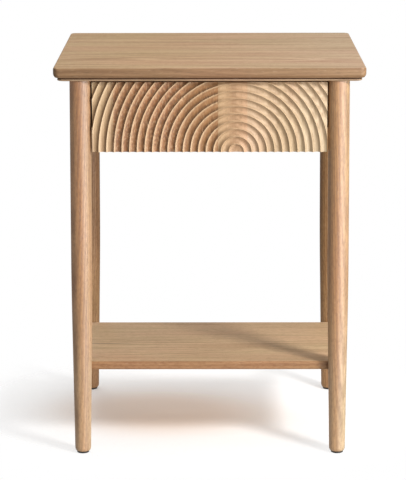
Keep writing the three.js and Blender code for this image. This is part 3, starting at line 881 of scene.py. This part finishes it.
def make_drawer_front(material):
    low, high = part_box("drawer_front")
    reach = math.hypot(high.x + RING_X, high.z - low.z)
    rings = math.ceil(reach / RING_PITCH)
    distances = [HUB_R]
    for n in range(rings):
        for k in range(RING_STEPS):
            t = (k + 1) / RING_STEPS
            distances.append((n + t) * RING_PITCH)

    def build(shape):
        columns = []
        for i in range(TURN_STEPS + 1):
            angle = -SPREAD + (math.pi + 2 * SPREAD) * i / TURN_STEPS
            column = []
            for distance in distances:
                x = RING_X + distance * math.cos(angle)
                z = RING_Z + distance * math.sin(angle)
                y = low.y + hollow_depth(distance)
                if mm(CHIP_STAVE[0]) < x < mm(CHIP_STAVE[1]):
                    y += tear(distance, x, z)
                column.append(shape.verts.new((x, y, z)))
            columns.append(column)
        hub = shape.verts.new((RING_X, low.y + hollow_depth(0.0), RING_Z))
        for left, right in zip(columns, columns[1:]):
            shape.faces.new((hub, right[0], left[0]))
            for k in range(len(distances) - 1):
                shape.faces.new((left[k], right[k], right[k + 1], left[k + 1]))
        # the strip below the middle of the rings, down past the lower edge
        low_z = low.z - PAST_EDGE
        hub_low = shape.verts.new((RING_X, low.y + hollow_depth(RING_Z - low_z), low_z))
        for column in (columns[0], columns[-1]):
            strip = []
            for point in column:
                away = math.hypot(point.co.x - RING_X, RING_Z - low_z)
                strip.append(shape.verts.new((point.co.x, low.y + hollow_depth(away), low_z)))
            shape.faces.new((hub, column[0], strip[0], hub_low))
            for k in range(len(distances) - 1):
                if column[k].co.z > low_z:
                    shape.faces.new((column[k], column[k + 1], strip[k + 1], strip[k]))
        for point, outward in (
            ((low.x, 0, 0), (-1, 0, 0)),
            ((high.x, 0, 0), (1, 0, 0)),
            ((0, 0, low.z), (0, 0, -1)),
            ((0, 0, high.z), (0, 0, 1)),
        ):
            geom = shape.verts[:] + shape.edges[:] + shape.faces[:]
            bmesh.ops.bisect_plane(shape, geom=geom, dist=TRIM_DIST, plane_co=point,
                                   plane_no=outward, clear_outer=True)
        rim = [e for e in shape.edges if e.is_boundary]
        grown = bmesh.ops.extrude_edge_only(shape, edges=rim)
        back = [v for v in grown["geom"] if isinstance(v, bmesh.types.BMVert)]
        for v in back:
            v.co.y = high.y
        edges = [e for e in grown["geom"] if isinstance(e, bmesh.types.BMEdge)]
        back_edges = [e for e in edges if e.is_boundary]
        bmesh.ops.contextual_create(shape, geom=back_edges)

    piece = piece_from("carved_front", build)
    finish_piece(piece, material, "drawer", ["drawer_front"], CARVED_CREASE)


# ------------------------------------------------------------------ screws
SCREW_SIDES = 20
SCREW_HEAD_R = mm(3.35)
SCREW_SHANK_R = mm(1.75)
SCREW_ROOT_R = mm(1.25)
THREAD_PITCH = mm(1.1)
CONE_DEEP = mm(2.4)
PAN_DEEP = mm(1.9)
TIP_LONG = mm(5.0)
RECESS_WIDE = mm(0.95)
RECESS_LONG = mm(3.7)
RECESS_DEEP = mm(1.3)
NODE_PLAY = mm(0.05)    # kept clear of the ends of the CAD screw
TIP_R = mm(0.15)
THREAD_CREST = 0.4      # height of the crest above the root, as a part of the pitch
NECK_SHORT = mm(0.05)
PAN_RIM = mm(0.3)
PAN_RIM_R = SCREW_HEAD_R * 0.97
PAN_DOME_STEPS = 5
PAN_DOME_TURN = math.radians(62)
PAN_DOME_HIGH = mm(1.8)
CONE_RIM = mm(0.4)
CONE_CHAMFER = mm(0.1)


def screw_profile(long, pan):
    """(radius, height) from the tip up to the rim of the head, which is at height 0."""
    neck = -(PAN_DEEP if pan else CONE_DEEP)
    points = [(TIP_R, -long)]
    turns = int((long + neck) / THREAD_PITCH)
    for k in range(turns):
        z = -long + (k + 0.5) * THREAD_PITCH
        grow = min(1.0, (k + 0.5) * THREAD_PITCH / TIP_LONG)
        points.append((SCREW_ROOT_R * grow, z))
        points.append((SCREW_SHANK_R * grow, z + THREAD_PITCH * THREAD_CREST))
    points.append((SCREW_ROOT_R, neck - NECK_SHORT))
    if pan:
        points += [(PAN_RIM_R, neck), (SCREW_HEAD_R, neck + PAN_RIM)]
        for k in range(1, PAN_DOME_STEPS + 1):
            a = k / PAN_DOME_STEPS * PAN_DOME_TURN
            points.append((SCREW_HEAD_R * math.cos(a),
                           neck + PAN_RIM + PAN_DOME_HIGH * math.sin(a)))
        return [(r, min(z, 0.0)) for r, z in points]
    return points + [(SCREW_HEAD_R, -CONE_RIM), (SCREW_HEAD_R, -CONE_CHAMFER),
                     (SCREW_HEAD_R - CONE_CHAMFER, 0.0)]


def make_screw(node, body, facing, pan, material):
    """A cross-head screw in place of the CAD one; facing is the way its head looks."""
    low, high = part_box(node)
    facing = Vector(facing)
    middle = (low + high) / 2
    reach = abs((high - low).dot(facing)) / 2 - NODE_PLAY
    profile = screw_profile(2 * reach, pan)
    piece = piece_from("fixing_" + node, lambda shape: skin(
        shape, [circle(r, z, SCREW_SIDES) for r, z in profile]))
    cutters = []
    for wide, deep in ((RECESS_WIDE, RECESS_LONG), (RECESS_LONG, RECESS_WIDE)):
        def slot(shape):
            bmesh.ops.create_cube(shape, size=1.0)
            bmesh.ops.scale(shape, vec=(wide, deep, 2 * RECESS_DEEP), verts=shape.verts)
        cutters.append(piece_from("cutter", slot))
    cut_away(piece, cutters)
    turn = Vector((0, 0, 1)).rotation_difference(facing).to_matrix().to_4x4()
    piece.data.transform(Matrix.Translation(middle + facing * reach) @ turn)
    finish_piece(piece, material, body, [node], SCREW_CREASE)


def make_screws(material):
    down = (0, 0, -1)
    inward = {
        "left": (1, 0, 0),
        "right": (-1, 0, 0),
        "back_left": (0, -1, 0),
        "back_right": (0, -1, 0),
    }
    for side in ("left", "right"):
        for place in ("front", "rear"):
            make_screw("shelf_screw_%s_%s" % (place, side), "table", down, False, material)
        make_screw("rail_screw_" + side, "table", down, False, material)
        make_screw("front_screw_" + side, "drawer", (0, 1, 0), False, material)
    for place, facing in inward.items():
        make_screw("top_screw_" + place, "table", down, True, material)
        make_screw("apron_screw_" + place, "table", facing, True, material)


# ------------------------------------------------------------------ carried-over CAD nodes
WELD_DIST = 1e-6
HARD_EDGE = math.radians(40)
FRAME_ROUND = mm(0.5)
BLOCK_ROUND = mm(0.8)
BOX_ROUND = mm(0.4)
METAL_ROUND = mm(0.25)


def refine(node, material, width, segments=3):
    """Gives a CAD node its material and a small round on each of its hard edges."""
    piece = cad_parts[node]
    piece.data.materials.clear()
    piece.data.materials.append(material)
    weld = piece.modifiers.new("weld", "WELD")
    weld.merge_threshold = WELD_DIST
    bevel = piece.modifiers.new("round", "BEVEL")
    bevel.width = width
    bevel.segments = segments
    bevel.limit_method = "ANGLE"
    bevel.angle_limit = HARD_EDGE
    bevel.use_clamp_overlap = True


# ------------------------------------------------------------------ build it
OAK_LIGHT = (0.51, 0.352, 0.208)
OAK_DARK = (0.34, 0.215, 0.115)
BIRCH_LIGHT = (0.66, 0.51, 0.35)
BIRCH_DARK = (0.55, 0.40, 0.25)
ZINC = (0.62, 0.63, 0.65)
ZINC_ROUGH = 0.28


def plank(name, grain, tint, seed, pith, ring, **more):
    """Oak in the table's own colour, tinted."""
    light = tinted(OAK_LIGHT, tint)
    dark = tinted(OAK_DARK, tint)
    return oak(name, grain, light, dark, seed, pith, ring, **more)


PLAIN = (1.0, 1.0, 1.0)
LEG_GLOSS = 1.0
LEG_IOR = 1.62
BACK_LEG_GLOSS = 0.45
BACK_LEG_IOR = 1.5
# from the foot of a front leg upwards
LEG_UP_TINTS = [(0.20, (1.02, 0.84, 0.71)), (0.45, (0.87, 0.60, 0.40))]
FRAME_TINT = (0.97, 0.91, 0.87)
# from the left side of a leg to its right side, which a painted sheen whitens where it faces the
# lights
LEG_SHEEN_TINTS = [(0.12, (1.05, 1.12, 1.12)), (0.50, (1.0, 0.98, 0.92)), (0.86, (1.0, 1.21, 1.42))]
BACK_LEG_TINT = (0.66, 0.53, 0.39)      # they stand in the table's own shade
TOP_TINT = (1.07, 1.03, 0.98)
# from the left end of the top to its right end, which a painted sheen makes whiter and bluer
# towards the lights
TOP_SHEEN_TINTS = [(0.30, (0.98, 0.99, 1.02)), (0.95, (0.97, 1.03, 1.24))]
# the top's upright edge faces: darker edge wood, and painted shade for the less light they get than
# the top face
TOP_EDGE_WOOD_AND_SHADE_TINT = (0.55, 0.46, 0.39)
# painted shade in the groove under the top's edge
TOP_GROOVE_SHADE_TINT = (0.24, 0.16, 0.13)
# the lip under the groove: paler and greyer than the upright edge, painted light as from the white
# floor below
TOP_LIP_LIT_TINT = (0.75, 0.74, 0.78)
# the shelf's flat faces, paler with painted light that lifts the shade of the table above the shelf
SHELF_LIT_TINT = (1.32, 1.30, 1.29)
# the shelf's edge faces: darker edge wood, and painted shade for the less light they get than its
# top
SHELF_EDGE_WOOD_AND_SHADE_TINT = (0.72, 0.54, 0.43)
# the carved front's staves: (left edge in millimetres, tint)
STAVES = [
    (-171.3, (0.90, 0.88, 0.84)),
    (-141.5, (0.70, 0.48, 0.335)),
    (11.8, (0.95, 0.86, 0.86)),
    (53.9, (0.95, 0.95, 1.02)),
    (131.0, (0.99, 1.08, 1.20)),
]


def leg_materials():
    made = {}
    for k, place in enumerate(LEG_PLACES):
        side = -1 if "left" in place else 1
        low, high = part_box("leg_" + place)
        pith = ((low.x + high.x) / 2 - side * mm(26), (low.y + high.y) / 2 + mm(34 + 5 * k))
        if "front" in place:
            tint, gloss, ior = PLAIN, LEG_GLOSS, LEG_IOR
            tints = [
                ("z", low.z, high.z, LEG_UP_TINTS, "LINEAR"),
                # across the leg a painted sheen whitens the side that faces the lights
                ("x", low.x, high.x, LEG_SHEEN_TINTS, "EASE"),
            ]
        else:
            tint, gloss, ior = BACK_LEG_TINT, BACK_LEG_GLOSS, BACK_LEG_IOR
            tints = []
        made[place] = plank("oak_leg_" + place, "z", tint, 3.1 + 1.7 * k, pith, 3.2,
                            figure=0.5, lean=side * 0.045, tone_from=0.75, tone_to=1.07,
                            gloss=gloss, ior=ior, speckle=0.50, tints=tints)
    return made


def stave_stops():
    low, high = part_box("drawer_front")
    span = high.x - low.x
    return [((mm(x) - low.x) / span, tint) for x, tint in STAVES]


def make_all():
    bpy.context.scene.view_settings.view_transform = "Standard"
    make_camera()
    make_world()
    make_floor()
    for name in LIGHTS:
        make_light(name)

    top_low, top_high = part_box("top_panel")
    top_cut = {"seed": 1.3, "pith": (-0.10, top_low.z - 0.07), "ring": 4.2}
    top_oak = plank("oak_top", "x", TOP_TINT, **top_cut, figure=1.2,
                    tone_from=0.74, tone_to=1.10, gloss=0.22, rough=0.66, speckle=0.22,
                    tints=[("x", top_low.x, top_high.x, TOP_SHEEN_TINTS, "LINEAR")])
    # copies of the top's oak for its edge: darker wood with painted shade, painted shade in the
    # groove, painted light on the lip
    top_edge_wood_and_shade = plank("oak_top_edge_and_shade", "x", TOP_EDGE_WOOD_AND_SHADE_TINT, **top_cut, figure=1.2)
    top_groove_shade = plank("oak_top_groove_shade", "x", TOP_GROOVE_SHADE_TINT, **top_cut)
    top_lip_lit = plank("oak_top_lip_lit", "x", TOP_LIP_LIT_TINT, **top_cut)
    shelf_cut = {"seed": 7.9, "pith": (-0.08, 0.05), "ring": 3.6}
    # painted light on the shelf's flat faces, with its own dark streak
    shelf_oak_lit = plank("oak_shelf", "x", SHELF_LIT_TINT, **shelf_cut, speckle=0.25, marks=shelf_stain())
    shelf_edge_wood_and_shade = plank("oak_shelf_edge_and_shade", "x", SHELF_EDGE_WOOD_AND_SHADE_TINT, **shelf_cut, speckle=0.45)
    front_low, front_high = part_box("drawer_front")
    front_oak = plank("oak_carved_front", "z", PLAIN, seed=5.3, pith=(0.05, 0.06), ring=3.4,
                      figure=0.7, marks=carving_marks,
                      tints=[("x", front_low.x, front_high.x, stave_stops(), "CONSTANT")])
    frame_oak = {
        grain: plank("oak_frame_" + grain, grain, FRAME_TINT, seed=9.7, pith=(0.11, 0.44), ring=3.8)
        for grain in AXES
    }
    birch = {
        grain: oak("drawer_wood_" + grain, grain, BIRCH_LIGHT, BIRCH_DARK, seed=4.4,
                   pith=(0.21, 0.33), ring=6.5, figure=0.8)
        for grain in AXES
    }
    zinc = steel("zinc", ZINC, ZINC_ROUGH)
    black = black_plastic("glide_plastic")

    make_legs(leg_materials())
    make_pads(black)
    make_top(top_oak, top_edge_wood_and_shade, top_groove_shade, top_lip_lit)
    make_shelf(shelf_oak_lit, shelf_edge_wood_and_shade)
    make_drawer_front(front_oak)
    make_screws(zinc)

    for node in sorted(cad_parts):
        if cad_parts[node].hide_render:
            continue
        if node.startswith(("side_apron", "shelf_stretcher", "slide_packer")):
            refine(node, frame_oak["y"], FRAME_ROUND)
        elif node in ("back_apron", "front_top_rail"):
            refine(node, frame_oak["x"], FRAME_ROUND)
        elif node.startswith("corner_block"):
            refine(node, frame_oak["z"], BLOCK_ROUND)
        elif node.startswith("drawer_side") or node == "drawer_bottom":
            refine(node, birch["y"], BOX_ROUND)
        elif node in ("drawer_back", "drawer_box_front"):
            refine(node, birch["x"], BOX_ROUND)
        else:
            refine(node, zinc, METAL_ROUND, 2)


make_all()
